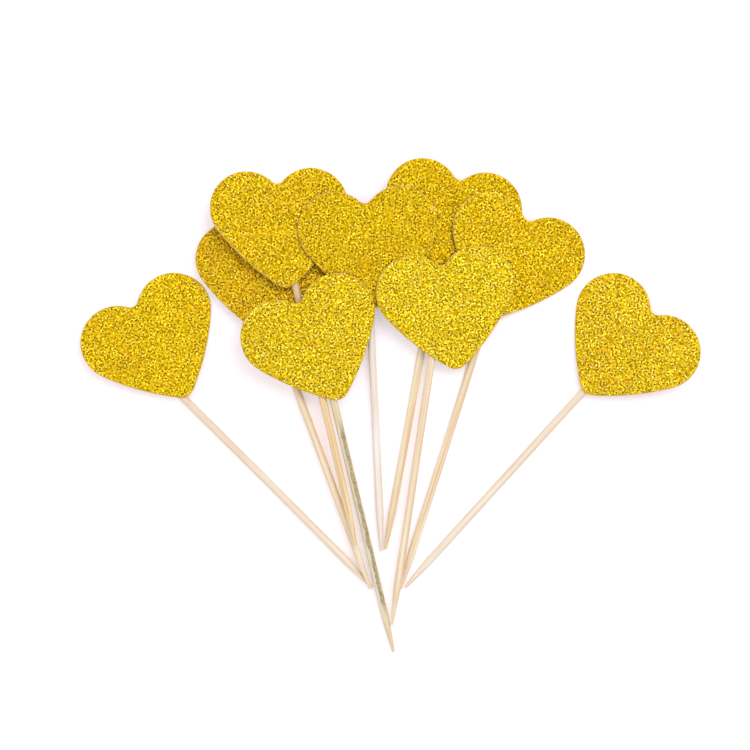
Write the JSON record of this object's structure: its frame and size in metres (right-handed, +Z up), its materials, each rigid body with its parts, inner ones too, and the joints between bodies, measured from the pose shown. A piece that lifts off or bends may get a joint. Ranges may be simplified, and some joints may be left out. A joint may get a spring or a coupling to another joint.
{
  "type": "cupcake topper set",
  "caption": "Gold glitter card hearts on wooden picks: cupcake toppers laid in an overlapping fan, each of which lifts off the pile.",
  "frame": {"origin": "on the table, under the middle of the fan of toppers", "axes": "+X to the right and +Y from the picks' points to the hearts, as seen from above; +Z up from the table"},
  "size_m": [0.2, 0.1598, 0.0098],
  "materials": {
    "card": "matte",
    "glitter": "gloss",
    "wood": "matte",
    "glue": "gloss"
  },
  "bodies": {
    "topper_1": {"topper_1_card": "card", "topper_1_glitter": "glitter", "topper_1_stick": "wood", "topper_1_glue": "glue"},
    "topper_2": {"topper_2_card": "card", "topper_2_glitter": "glitter", "topper_2_stick": "wood", "topper_2_glue": "glue"},
    "topper_3": {"topper_3_card": "card", "topper_3_glitter": "glitter", "topper_3_stick": "wood", "topper_3_glue": "glue"},
    "topper_4": {"topper_4_card": "card", "topper_4_glitter": "glitter", "topper_4_stick": "wood", "topper_4_glue": "glue"},
    "topper_5": {"topper_5_card": "card", "topper_5_glitter": "glitter", "topper_5_stick": "wood", "topper_5_glue": "glue"},
    "topper_6": {"topper_6_card": "card", "topper_6_glitter": "glitter", "topper_6_stick": "wood", "topper_6_glue": "glue"},
    "topper_7": {"topper_7_card": "card", "topper_7_glitter": "glitter", "topper_7_stick": "wood", "topper_7_glue": "glue"},
    "topper_8": {"topper_8_card": "card", "topper_8_glitter": "glitter", "topper_8_stick": "wood", "topper_8_glue": "glue"},
    "topper_9": {"topper_9_card": "card", "topper_9_glitter": "glitter", "topper_9_stick": "wood", "topper_9_glue": "glue"}
  },
  "joints": [
    {"name": "lift_2", "type": "slide", "parent": "topper_1", "child": "topper_2", "axis": [0, 0, 1], "range_m": [0, 0.03]},
    {"name": "lift_3", "type": "slide", "parent": "topper_2", "child": "topper_3", "axis": [0, 0, 1], "range_m": [0, 0.03]},
    {"name": "lift_4", "type": "slide", "parent": "topper_3", "child": "topper_4", "axis": [0, 0, 1], "range_m": [0, 0.03]},
    {"name": "lift_5", "type": "slide", "parent": "topper_4", "child": "topper_5", "axis": [0, 0, 1], "range_m": [0, 0.03]},
    {"name": "lift_6", "type": "slide", "parent": "topper_5", "child": "topper_6", "axis": [0, 0, 1], "range_m": [0, 0.03]},
    {"name": "lift_7", "type": "slide", "parent": "topper_6", "child": "topper_7", "axis": [0, 0, 1], "range_m": [0, 0.03]},
    {"name": "lift_8", "type": "slide", "parent": "topper_7", "child": "topper_8", "axis": [0, 0, 1], "range_m": [0, 0.03]},
    {"name": "lift_9", "type": "slide", "parent": "topper_8", "child": "topper_9", "axis": [0, 0, 1], "range_m": [0, 0.03]}
  ]
}
